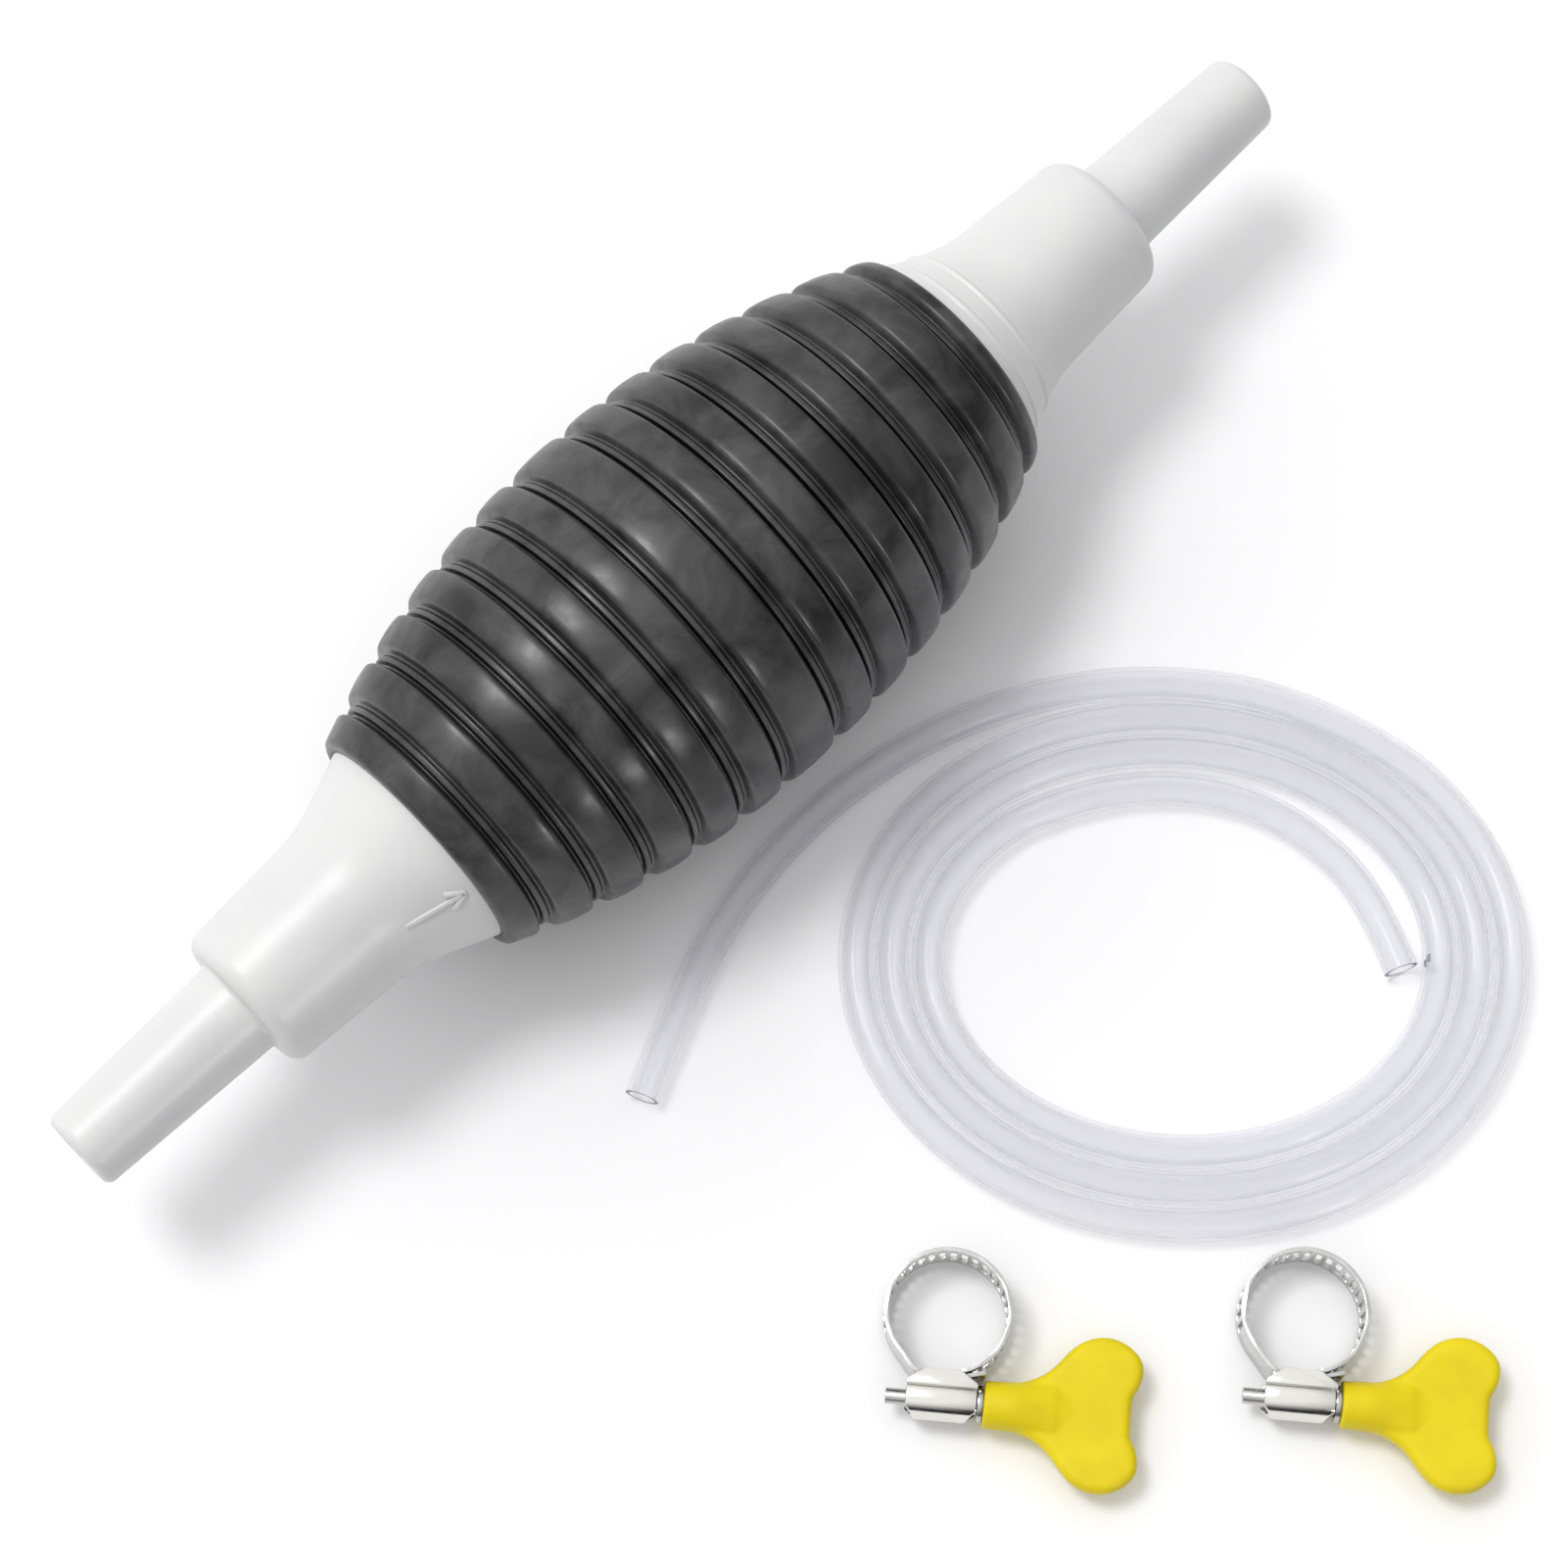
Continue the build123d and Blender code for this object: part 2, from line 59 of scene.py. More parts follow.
print("frame loaded,", len(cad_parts), "nodes")


def onFloor(right, away, height=0.0):       # millimetres in the layout to a point of the frame
    c, s = cos(layoutTurn), sin(layoutTurn)
    return Vector((right * c - away * s, right * s + away * c, height)) * mm


camera = {
    "place": (-0.113026, -0.133362, 0.495395),
    "aim": (-0.002504, -0.020310, 0.0),
    "lens": 90.53,
    "sensor": 36.0,
    "nearest": 0.01,
}
studio = {
    "floorSize": 6.0,
    "floorColour": "F8F8F9",
    "floorRoughness": 0.9,
    "floorGloss": 0.1,
    "skyBright": "FFFFFF",
    "skyDim": "303035",
    "skySpread": (0.05, 0.8),           # how square to the light the dim and the bright sky are
    "skyStrength": 1.08,
    "lightFrom": (-0.34, 0.2, 0.92),    # right, away and up: the bright side of the sky
    "kitMiddle": (30, -35),             # what both lamps point at, in mm
    "keyPlace": (-760, 420, 2000),
    "keySize": 0.7,
    "keyPower": 18.0,
    "glintPlace": (475, -686, 337),     # a small lamp that only shows as a gleam on the ribs
    "glintSize": 0.16,
    "glintPower": 1.4,
}


def linear(code, alpha=1.0):                # an sRGB hex colour as linear numbers
    parts = [int(code[i:i + 2], 16) / 255 for i in (0, 2, 4)]
    curved = [p / 12.92 if p <= 0.04045 else ((p + 0.055) / 1.055) ** 2.4 for p in parts]
    return (*curved, alpha)


# one shader node with its settings, the links into it and, for a ramp, its stops
def addNode(tree, kind, settings=None, links=None, stops=None):
    node = tree.nodes.new("ShaderNode" + kind)
    for name, value in (settings or {}).items():
        if isinstance(name, str) and hasattr(node, name):
            setattr(node, name, value)
        else:
            node.inputs[name].default_value = value
    for name, socket in (links or {}).items():
        tree.links.new(socket, node.inputs[name])
    if stops:
        ramp = node.color_ramp
        while len(ramp.elements) < len(stops):
            ramp.elements.new(0.5)
        for element, (position, colour) in zip(ramp.elements, stops):
            element.position = position
            element.color = colour
    return node


def deselectAll():
    if bpy.context.object and bpy.context.object.mode != "OBJECT":
        bpy.ops.object.mode_set(mode="OBJECT")
    bpy.ops.object.select_all(action="DESELECT")


def activate(piece):
    deselectAll()
    piece.select_set(True)
    bpy.context.view_layer.objects.active = piece


def settle(piece):          # its place goes into its mesh, and its object stays at the origin
    activate(piece)
    bpy.ops.object.transform_apply(location=True, rotation=True, scale=True)
    return piece


def addAreaLight(name, place, size, power):
    right, away = studio["kitMiddle"]
    middle = onFloor(right, away)
    spot = onFloor(place[0] + right, place[1] + away, place[2])
    deselectAll()
    bpy.ops.object.light_add(type="AREA", location=spot)
    light = bpy.context.object
    light.name = name
    light.data.shape = "DISK"
    light.data.size = size
    light.data.energy = power
    light.rotation_euler = (middle - spot).to_track_quat("-Z", "Y").to_euler()
    return light


deselectAll()
bpy.ops.object.camera_add(location=camera["place"])
cameraObject = bpy.context.object
cameraObject.name = "camera"
aimAlong = Vector(camera["aim"]) - Vector(camera["place"])
cameraObject.rotation_euler = aimAlong.to_track_quat("-Z", "Y").to_euler()
cameraObject.data.lens = camera["lens"]
cameraObject.data.sensor_width = camera["sensor"]
cameraObject.data.clip_start = camera["nearest"]
bpy.context.scene.camera = cameraObject

deselectAll()
bpy.ops.mesh.primitive_plane_add(size=studio["floorSize"], location=(0, 0, 0))
floor = bpy.context.object
floor.name = "floor"
floorPaint = bpy.data.materials.new("pale paper sweep")
floorPaint.use_nodes = True
paper = floorPaint.node_tree.nodes["Principled BSDF"]
paper.inputs["Base Color"].default_value = linear(studio["floorColour"])
paper.inputs["Roughness"].default_value = studio["floorRoughness"]
paper.inputs["Specular IOR Level"].default_value = studio["floorGloss"]
floor.data.materials.append(floorPaint)

sky = bpy.data.worlds.new("studio")
bpy.context.scene.world = sky
sky.use_nodes = True
skyTree = sky.node_tree
skyDirection = addNode(skyTree, "TexCoord")
towardsLight = onFloor(*studio["lightFrom"][:2], studio["lightFrom"][2]).normalized()
skyFacing = addNode(skyTree, "VectorMath", {"operation": "DOT_PRODUCT", 1: towardsLight},
                    {0: skyDirection.outputs["Generated"]})
skyRamp = addNode(skyTree, "ValToRGB", links={"Fac": skyFacing.outputs["Value"]},
                  stops=[(studio["skySpread"][0], linear(studio["skyDim"])),
                         (studio["skySpread"][1], linear(studio["skyBright"]))])
skyTree.links.new(skyRamp.outputs["Color"], skyTree.nodes["Background"].inputs["Color"])
skyTree.nodes["Background"].inputs["Strength"].default_value = studio["skyStrength"]
addAreaLight("keyLight", studio["keyPlace"], studio["keySize"], studio["keyPower"])
glint = addAreaLight("glintLight", studio["glintPlace"], studio["glintSize"], studio["glintPower"])
glint.visible_diffuse = False
glint.visible_transmission = False
bpy.context.scene.view_settings.view_transform = "Standard"
print("camera, floor and lights")


def apply(piece, kind, **settings):         # adds a modifier and applies it
    modifier = piece.modifiers.new(kind.lower(), kind)
    for name, value in settings.items():
        setattr(modifier, name, value)
    activate(piece)
    bpy.ops.object.modifier_apply(modifier=modifier.name)


def mergeAndFace(piece, threshold=1e-6):    # merges doubles, then turns every face outwards
    activate(piece)
    bpy.ops.object.mode_set(mode="EDIT")
    bpy.ops.mesh.select_all(action="SELECT")
    bpy.ops.mesh.remove_doubles(threshold=threshold)
    bpy.ops.mesh.normals_make_consistent(inside=False)
    bpy.ops.object.mode_set(mode="OBJECT")


# a section's corners (x, radius, round), with each round drawn as an arc of short steps
def rounded(corners, steps):
    points = []
    for i, (x, r, radius) in enumerate(corners):
        here = Vector((x, r))
        if radius <= 0 or i in (0, len(corners) - 1):
            points.append(here)
            continue
        back = (Vector(corners[i - 1][:2]) - here).normalized()
        ahead = (Vector(corners[i + 1][:2]) - here).normalized()
        halfAngle = acos(max(-1.0, min(1.0, back.dot(ahead)))) / 2
        centre = here + (back + ahead).normalized() * radius / sin(halfAngle)
        start = here + back * radius / tan(halfAngle) - centre
        turn = start.angle_signed(here + ahead * radius / tan(halfAngle) - centre)
        for k in range(steps + 1):
            points.append(centre + Matrix.Rotation(-turn * k / steps, 2) @ start)
    return [(p.x, p.y) for p in points]


# turns a section round the X axis: a circle is drawn out ring by ring, (x, radius) in mm
def turnedPiece(name, rings, sides):
    deselectAll()
    x, radius = rings[0]
    bpy.ops.mesh.primitive_circle_add(vertices=sides, radius=radius * mm, location=(x * mm, 0, 0),
                                      rotation=(0, pi / 2, 0))
    piece = settle(bpy.context.object)
    piece.name = name
    bpy.ops.object.mode_set(mode="EDIT")
    bpy.ops.mesh.select_mode(type="EDGE")
    bpy.ops.mesh.select_all(action="SELECT")
    for nextX, nextRadius in rings[1:]:
        bpy.ops.mesh.extrude_region_move(TRANSFORM_OT_translate={"value": ((nextX - x) * mm, 0, 0)})
        grow = nextRadius / radius
        bpy.ops.transform.resize(value=(1, grow, grow), center_override=(nextX * mm, 0, 0))
        x, radius = nextX, nextRadius
    bpy.ops.object.mode_set(mode="OBJECT")
    mergeAndFace(piece)
    bpy.ops.object.shade_smooth()
    return piece


def lift(piece, place):     # moves a piece made at the origin to its place in the frame
    piece.location = place
    return settle(piece)


hose = {                   # one clear tube, free at both ends, wound three times round
    "outside": 4.5,
    "wall": 0.5,
    "coilMiddle": (63.0, -40.5),
    "halfWidth": 44.95,
    "halfDepth": 37.6,
    "pitch": 4.75,
    "pointsPerTurn": 20,
    "firstTurn": 0.12,
    "lastTurn": 2.87,
    "sideSteps": 12,
    "alongSteps": 8,
    "smoothAngle": 50,
}
outerTailPoints = [(-5.8, -59.1), (-0.6, -45.0), (7.6, -30.6), (19.5, -17.9), (34.0, -8.6),
                   (49.5, -3.6), (64.0, -2.7), (78.0, -5.0)]
innerTailPoints = [(46.0, -20.6), (58.0, -17.2), (71.5, -18.3), (82.0, -24.3), (89.0, -32.8),
                   (92.2, -42.2)]


# the oval spiral's points, set out a little so that the smooth line they lead keeps its size
def coilPoints():
    count = round((hose["lastTurn"] - hose["firstTurn"]) * hose["pointsPerTurn"])
    setOut = 1 / cos(pi / hose["pointsPerTurn"])
    points = []
    for i in range(count + 1):
        turn = hose["firstTurn"] + (hose["lastTurn"] - hose["firstTurn"]) * i / count
        wide = (hose["halfWidth"] - hose["pitch"] * turn) * setOut
        deep = (hose["halfDepth"] - hose["pitch"] * turn) * setOut
        points.append((hose["coilMiddle"][0] + wide * sin(2 * pi * turn),
                       hose["coilMiddle"][1] + deep * cos(2 * pi * turn)))
    return points


layoutPoints = outerTailPoints + coilPoints() + innerTailPoints
routePoints = [onFloor(*p, hose["outside"] / 2) for p in layoutPoints]
deselectAll()
routeCurve = bpy.data.curves.new("hoseRoute", "CURVE")
routeCurve.dimensions = "3D"
routeCurve.resolution_u = hose["alongSteps"]
line = routeCurve.splines.new("NURBS")
line.points.add(len(routePoints) - 1)
for point, place in zip(line.points, routePoints):
    point.co = (*place, 1)
line.order_u = 3
line.use_endpoint_u = True
routeObject = bpy.data.objects.new("hoseRoute", routeCurve)
bpy.context.collection.objects.link(routeObject)
bpy.context.view_layer.update()
lineMesh = bpy.data.meshes.new_from_object(routeObject)      # no bevel yet: the bare centre line
centreLine = [v.co.copy() for v in lineMesh.vertices]
hoseLength = sum((b - a).length for a, b in zip(centreLine, centreLine[1:]))
routeCurve.bevel_depth = hose["outside"] / 2 * mm
routeCurve.bevel_resolution = hose["sideSteps"]
activate(routeObject)
bpy.ops.object.convert(target="MESH")
hosePiece = bpy.context.object
hosePiece.name = "hose"
mergeAndFace(hosePiece, 1e-7)
apply(hosePiece, "SOLIDIFY", thickness=hose["wall"] * mm, offset=-1, use_even_offset=True, use_rim=True)
activate(hosePiece)
bpy.ops.object.shade_smooth_by_angle(angle=radians(hose["smoothAngle"]))
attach(hosePiece, "pump")
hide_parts("hose_outer_tail", "hose_coil", "hose_inner_tail")
print("hose", round(hoseLength, 4), "m long")


bulb = {
    "halfLength": 46.5,
    "bellyRadius": 26.2,
    "endRadius": 16.9,
    "endRound": 0.9,
    "wall": 3.0,
    "lipBore": 15.3,
    "lipLength": 5.7,
    "lipInside": 16.0,
    "ribCrown": 0.16,
    "crownAt": (0.22, 0.5, 0.78),       # shares of a rib's width
    "insideAt": (0.8, 0.6, 0.4, 0.2, 0, -0.2, -0.4, -0.6, -0.8),    # shares of the inside's length
    # across a groove from the inlet's side: along the bulb, depth and round of each corner
    "groove": ((-1.3, 0, 0.5), (-1.15, 1.5, 0.2), (-0.75, 1.5, 0.2), (-0.5, 0.85, 0.2),
               (0.15, 0.85, 0.25), (0.45, 1.2, 0.2), (0.75, 1.2, 0.25), (1.3, 0, 0.8)),
    "wideRibCentre": -2.5,
    "wideRib": 9.0,
    "inletGrooves": 6,
    "outletGrooves": 7,
    "inletCollar": 5.0,
    "outletCollar": 3.1,
    "roundSteps": 3,
    "sides": 144,
}


def grooveMiddles():        # where grooves cross the bulb's arc, from the inlet end to the outlet end
    firstInlet = bulb["wideRibCentre"] - bulb["wideRib"] / 2
    lastInlet = -bulb["halfLength"] + bulb["inletCollar"]
    firstOutlet = bulb["wideRibCentre"] + bulb["wideRib"] / 2
    lastOutlet = bulb["halfLength"] - bulb["outletCollar"]
    inletStep = (lastInlet - firstInlet) / (bulb["inletGrooves"] - 1)
    outletStep = (lastOutlet - firstOutlet) / (bulb["outletGrooves"] - 1)
    inlet = [firstInlet + i * inletStep for i in range(bulb["inletGrooves"])]
    outlet = [firstOutlet + i * outletStep for i in range(bulb["outletGrooves"])]
    return sorted(inlet + outlet)


# the bulb's wall: over the ribs and grooves from inlet to outlet, and back along the inside
def bulbSection():
    half, lipBore = bulb["halfLength"], bulb["lipBore"]
    rise = bulb["bellyRadius"] - bulb["endRadius"]
    arc = (half ** 2 + rise ** 2) / (2 * rise)
    sunk = bulb["bellyRadius"] - arc

    def onArc(x, outwards=0.0, along=0.0):
        tilt = asin(x / arc)
        reach = arc + outwards
        return (reach * sin(tilt) + along * cos(tilt), sunk + reach * cos(tilt) - along * sin(tilt))

    corners = [(-half, lipBore, 0), (-half, bulb["endRadius"], bulb["endRound"])]
    halfGroove = bulb["groove"][-1][0]
    middles = grooveMiddles()
    for x, after in zip(middles, middles[1:] + [None]):
        corners += [(*onArc(x, -depth, along), radius) for along, depth, radius in bulb["groove"]]
        if after is not None:
            ribWidth = after - x - 2 * halfGroove
            for share in bulb["crownAt"]:
                crown = bulb["ribCrown"] * (1 - (2 * share - 1) ** 2)
                corners.append((*onArc(x + halfGroove + share * ribWidth, crown), 0))
    corners += [(half, bulb["endRadius"], bulb["endRound"]), (half, lipBore, 0)]
    lipEnd = half - bulb["lipLength"]
    corners += [(lipEnd, lipBore, 0), (lipEnd, bulb["lipInside"], 0)]
    innerRise = bulb["bellyRadius"] - bulb["wall"] - bulb["lipInside"]
    innerArc = (lipEnd ** 2 + innerRise ** 2) / (2 * innerRise)
    innerSunk = bulb["bellyRadius"] - bulb["wall"] - innerArc
    for share in bulb["insideAt"]:
        x = share * lipEnd
        corners.append((x, innerSunk + (innerArc ** 2 - x ** 2) ** 0.5, 0))
    corners += [(-lipEnd, bulb["lipInside"], 0), (-lipEnd, lipBore, 0), (-half, lipBore, 0)]
    return rounded(corners, bulb["roundSteps"])


bulbPiece = lift(turnedPiece("squeezeBulb", bulbSection(), bulb["sides"]), (0, 0, pumpHeight))
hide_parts("bulb")
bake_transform(bulbPiece)
print("squeeze bulb,", len(bulbPiece.data.polygons), "faces")


fitting = {
    "tip": 102.5,
    "shoulder": 76.0,
    "flareStart": 56.3,
    "lip": 46.5,
    "bead": 38.6,
    "tipRadius": 5.5,
    "tipRound": 1.2,
    "baseRadius": 6.5,
    "baseRound": 0.6,
    "shoulderRadius": 10.05,
    "shoulderRound": 2.2,
    "chamberRadius": 11.25,
    "flareBlend": 22.0,
    "rimRadius": 15.2,
    "rimInside": 13.2,
    "beadHeight": 0.5,
    "beadLength": 2.0,
    "chamberBore": 8.05,
    "chamberFloor": 73.5,
    "chamberMouth": 58.5,
    "socket": 2.25,
    "socketDepth": 15.0,
    "passage": 1.75,
    "ringLines": (48.8, 52.0),
    "ringLine": 0.3,
    "ringLineWidth": 1.0,
    "ringLineRounds": (0.3, 0.35),      # at a line's foot and on its top
    "beadRound": 0.2,
    "lipRound": 0.4,
    "socketRound": 0.3,
    "mouthRound": 0.5,
    "roundSteps": 6,
    "smoothAngle": 40,
    "sides": 96,
}


def onFlare(x):             # the bell's radius at x, before the blend into the chamber
    share = (x - fitting["lip"]) / (fitting["flareStart"] - fitting["lip"])
    return fitting["rimRadius"] + share * (fitting["chamberRadius"] - fitting["rimRadius"])


# a fitting's wall, from the bead in the bulb out to the tip and back along the bores
def fittingSection(side):
    f = fitting
    beadEnd = f["bead"] + f["beadLength"]
    corners = [
        (f["bead"], f["rimInside"], 0),
        (f["bead"], f["rimRadius"] + f["beadHeight"] / 2, f["beadRound"]),
        (beadEnd, f["rimRadius"] + f["beadHeight"], f["beadRound"]),
        (beadEnd, f["rimRadius"], 0),
        (f["lip"], f["rimRadius"], f["lipRound"]),
    ]
    if side > 0:
        for x in f["ringLines"]:                       # faint raised lines round the outlet's bell
            half = f["ringLineWidth"] / 2
            foot, top = f["ringLineRounds"]
            corners += [(x - half, onFlare(x - half), foot), (x, onFlare(x) + f["ringLine"], top),
                        (x + half, onFlare(x + half), foot)]
    corners += [
        (f["flareStart"], f["chamberRadius"], f["flareBlend"]),
        (f["shoulder"], f["shoulderRadius"], f["shoulderRound"]),
        (f["shoulder"], f["baseRadius"], f["baseRound"]),
        (f["tip"], f["tipRadius"], f["tipRound"]),
        (f["tip"], f["socket"], f["socketRound"]),
        (f["tip"] - f["socketDepth"], f["socket"], 0),
        (f["tip"] - f["socketDepth"], f["passage"], 0),
        (f["chamberFloor"], f["passage"], 0),
        (f["chamberFloor"], f["chamberBore"], 0),
        (f["chamberMouth"], f["chamberBore"], f["mouthRound"]),
        (f["lip"], f["rimInside"], 0),
        (f["bead"], f["rimInside"], 0),
    ]
    return [(side * x, r) for x, r in rounded(corners, f["roundSteps"])]


arrow = {
    "length": 8.6,
    "line": 0.6,
    "headLength": 2.6,
    "headTurn": 28.0,
    "relief": 0.35,
    "gap": 0.8,
    "turn": 50.0,
    "edge": 0.12,
    "smoothAngle": 40,
}


# three bars on the inlet's bell that point at the bulb, half sunk so that the relief stands out
def addArrow():
    drop = fitting["rimRadius"] - fitting["chamberRadius"]
    cone = asin(drop / hypot(drop, fitting["flareStart"] - fitting["lip"]))
    middle = fitting["lip"] + arrow["gap"] + arrow["length"] / 2
    head, headTurn = arrow["headLength"], arrow["headTurn"]
    headX = (arrow["length"] - head) / 2
    bars = []
    for length, x, y, turn in ((arrow["length"], 0, 0, 0), (head, headX, head / 4, -headTurn),
                               (head, headX, -head / 4, headTurn)):
        deselectAll()
        bpy.ops.mesh.primitive_cube_add(
            size=1, location=(x * mm, y * mm, 0), rotation=(0, 0, radians(turn)),
            scale=(length * mm, arrow["line"] * mm, 2 * arrow["relief"] * mm))
        bar = settle(bpy.context.object)
        apply(bar, "BEVEL", width=arrow["edge"] * mm, segments=2, limit_method="ANGLE")
        bars.append(bar)
    deselectAll()
    for bar in bars:
        bar.select_set(True)
    bpy.context.view_layer.objects.active = bars[0]
    bpy.ops.object.join()
    mark = bpy.context.object
    mark.name = "flowArrow"
    # lay it along the cone at the top of the bell, then roll it down towards the near side
    tilt = Matrix.Rotation(-cone, 4, "Y")
    up = Matrix.Translation((-middle * mm, 0, onFlare(middle) * mm))
    roll = Matrix.Rotation(radians(arrow["turn"]), 4, "X")
    mark.matrix_world = Matrix.Translation((0, 0, pumpHeight)) @ roll @ up @ tilt
    settle(mark)
    bpy.ops.object.shade_smooth_by_angle(angle=radians(arrow["smoothAngle"]))
    return mark


fittingPieces = {}
for end, side in (("inlet", -1), ("outlet", 1)):
    turned = turnedPiece(end + "Fitting", fittingSection(side), fitting["sides"])
    piece = lift(turned, (0, 0, pumpHeight))
    activate(piece)
    bpy.ops.object.shade_smooth_by_angle(angle=radians(fitting["smoothAngle"]))
    if side < 0:
        mark = addArrow()
        activate(piece)
        mark.select_set(True)
        bpy.ops.object.join()
    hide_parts(end + "_fitting")
    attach(piece, "pump")
    fittingPieces[end] = piece
print("end fittings")


clamp = {
    "places": ((32.9, -87.6), (77.4, -87.6)),
    "bandEdge": 0.08,
    "sheetEdge": 0.14,
    "screwEdge": 0.08,
    "flatAngle": 1,          # faces that turn by less than this become one
    "edgeAngle": 35,         # edges that turn by more than this are bevelled
    "ringOutside": 8.0,
    "lapRadius": 8.35,
    "travel": 3.1,
    "keyVoxel": 0.2,
    "keySmoothing": 0.5,
    "keySmoothRounds": 16,
    "keyStart": 5.3,         # from the ring's middle to where the key's neck begins
    "keyHalfThickness": 1.5,
    "neckEase": (2.5, 11.5), # along the key, where the round neck sinks into the flat wing
    "neckRidge": 0.12,       # the share of the neck's height that is left as a faint ridge
}
clampAway = Vector((-sin(layoutTurn + clampTurn), cos(layoutTurn + clampTurn), 0))


# a copy of a CAD node's mesh with its loose triangles merged, standing for that node
def mergedCopy(node, name):
    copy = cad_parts[node].copy()
    copy.data = copy.data.copy()
    copy.parent = None
    for key in list(copy.keys()):
        del copy[key]
    copy.data.materials.clear()
    bpy.context.collection.objects.link(copy)
    copy.name = name
    activate(copy)
    if copy.data.has_custom_normals:
        bpy.ops.mesh.customdata_custom_splitnormals_clear()
    bpy.ops.object.mode_set(mode="EDIT")
    bpy.ops.mesh.select_all(action="SELECT")
    bpy.ops.mesh.remove_doubles(threshold=1e-6)
    bpy.ops.object.mode_set(mode="OBJECT")
    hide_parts(node)
    return copy


# what stands above or below the key's flat wing sinks into it along the neck
def easeNeck(piece, middle, height):
    along = Vector((clampAway.y, -clampAway.x, 0))
    first, last = clamp["neckEase"]
    flat = clamp["keyHalfThickness"] * mm
    for vertex in piece.data.vertices:
        reach = (vertex.co - middle).dot(along) / mm - clamp["keyStart"]
        share = min(max((reach - first) / (last - first), 0), 1)
        left = 1 - (1 - clamp["neckRidge"]) * share * share * (3 - 2 * share)
        above = vertex.co.z - height
        if abs(above) > flat:
            vertex.co.z = height + (flat + (abs(above) - flat) * left) * (1 if above > 0 else -1)


def softenEdges(piece, width):      # flat areas become single faces, their edges get a small bevel
    activate(piece)
    bpy.ops.object.mode_set(mode="EDIT")
    bpy.ops.mesh.select_all(action="SELECT")
    bpy.ops.mesh.dissolve_limited(angle_limit=radians(clamp["flatAngle"]))
    bpy.ops.object.mode_set(mode="OBJECT")
    angle = radians(clamp["edgeAngle"])
    apply(piece, "BEVEL", width=width * mm, segments=2, limit_method="ANGLE", angle_limit=angle)
    activate(piece)
    bpy.ops.object.shade_smooth_by_angle(angle=angle)


clampPieces = []
for number, place in enumerate(clamp["places"], 1):
    bodyName = f"clamp_{number}_"
    middle = onFloor(*place)

    band = mergedCopy(bodyName + "band", f"clamp{number}Band")
    softenEdges(band, clamp["bandEdge"])
    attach(band, "pump")
    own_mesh(band)

    housing = mergedCopy(bodyName + "housing", f"clamp{number}Housing")
    softenEdges(housing, clamp["sheetEdge"])
    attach(housing, bodyName + "saddle")

    screw = mergedCopy(bodyName + "worm_screw", f"clamp{number}WormScrew")
    softenEdges(screw, clamp["screwEdge"])
    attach(screw, bodyName + "screw")

    key = mergedCopy(bodyName + "thumb_key", f"clamp{number}ThumbKey")
    apply(key, "REMESH", mode="VOXEL", voxel_size=clamp["keyVoxel"] * mm)
    keyLow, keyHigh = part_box(bodyName + "thumb_key")
    easeNeck(key, middle, (keyLow.z + keyHigh.z) / 2)
    apply(key, "SMOOTH", factor=clamp["keySmoothing"], iterations=clamp["keySmoothRounds"])
    activate(key)
    bpy.ops.object.shade_smooth()
    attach(key, bodyName + "screw")
    clampPieces.append({"band": band, "housing": housing, "screw": screw, "key": key})
    print("clamp", number, len(key.data.polygons), "faces on its key")


springPieces = []
for end in ("inlet", "outlet"):
    spring = mergedCopy(end + "_valve_spring", end + "ValveSpring")
    activate(spring)
    bpy.ops.object.shade_smooth()
    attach(spring, "pump")
    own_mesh(spring)
    springPieces.append(spring)
print("valve springs")


def newMaterial(name):
    material = bpy.data.materials.new(name)
    material.use_nodes = True
    return material, material.node_tree, material.node_tree.nodes["Principled BSDF"]


def wear(*pieces, material):
    for piece in pieces:
        piece.data.materials.clear()
        piece.data.materials.append(material)


rubber = {                        # moulded nitrile rubber: black, a cloudy grey bloom, a satin skin, with painted shade in its grooves
    "dark": "222223",
    "bloom": "4A4A4B",
    # painted shade: the near-black colour that the grooves are darkened towards
    "groove": "050505",
    "paintedShadeReach": 2.5,           # mm round a point that close a groove in, for the painted shade
    "grooveSpread": (0.35, 0.8),  # how open a point is where the painted shade is darkest, and where there is none
    "cloudSize": 9.0,             # mm across one cloud
    "cloudSpread": (0.38, 0.68),
    "scuffSize": 2.2,
    "grain": 0.5,                 # really 0.1 mm, drawn coarser so that it shows
    "grainHeight": 0.012,
    "grainDepth": 0.35,
    "roughness": (0.27, 0.38),
    "gloss": 0.42,
    "ior": 1.52,
}
rubberMaterial, tree, shader = newMaterial("moulded nitrile rubber")
where = addNode(tree, "TexCoord")
clouds = addNode(tree, "TexNoise", {"Scale": 1000 / rubber["cloudSize"], "Detail": 5.0,
                                    "Roughness": 0.62, "Distortion": 0.6},
                 {"Vector": where.outputs["Object"]})
cloudColour = addNode(tree, "ValToRGB", links={"Fac": clouds.outputs["Fac"]},
                      stops=[(rubber["cloudSpread"][0], linear(rubber["dark"])),
                             (rubber["cloudSpread"][1], linear(rubber["bloom"]))])
scuffs = addNode(tree, "TexNoise", {"Scale": 1000 / rubber["scuffSize"], "Detail": 4.0},
                 {"Vector": where.outputs["Object"]})
scuffed = addNode(tree, "MapRange", {"From Min": 0.3, "From Max": 0.7,
                                     "To Min": rubber["roughness"][0], "To Max": rubber["roughness"][1]},
                  {"Value": scuffs.outputs["Fac"]})
skin = addNode(tree, "TexNoise", {"Scale": 1000 / rubber["grain"], "Detail": 2.0},
               {"Vector": where.outputs["Object"]})
skinBump = addNode(tree, "Bump", {"Strength": rubber["grainDepth"],
                                  "Distance": rubber["grainHeight"] * mm},
                   {"Height": skin.outputs["Fac"]})
# painted shade: ambient occlusion darkens the base colour towards near black in the grooves
closedIn = addNode(tree, "AmbientOcclusion", {"samples": 8, "Distance": rubber["paintedShadeReach"] * mm})
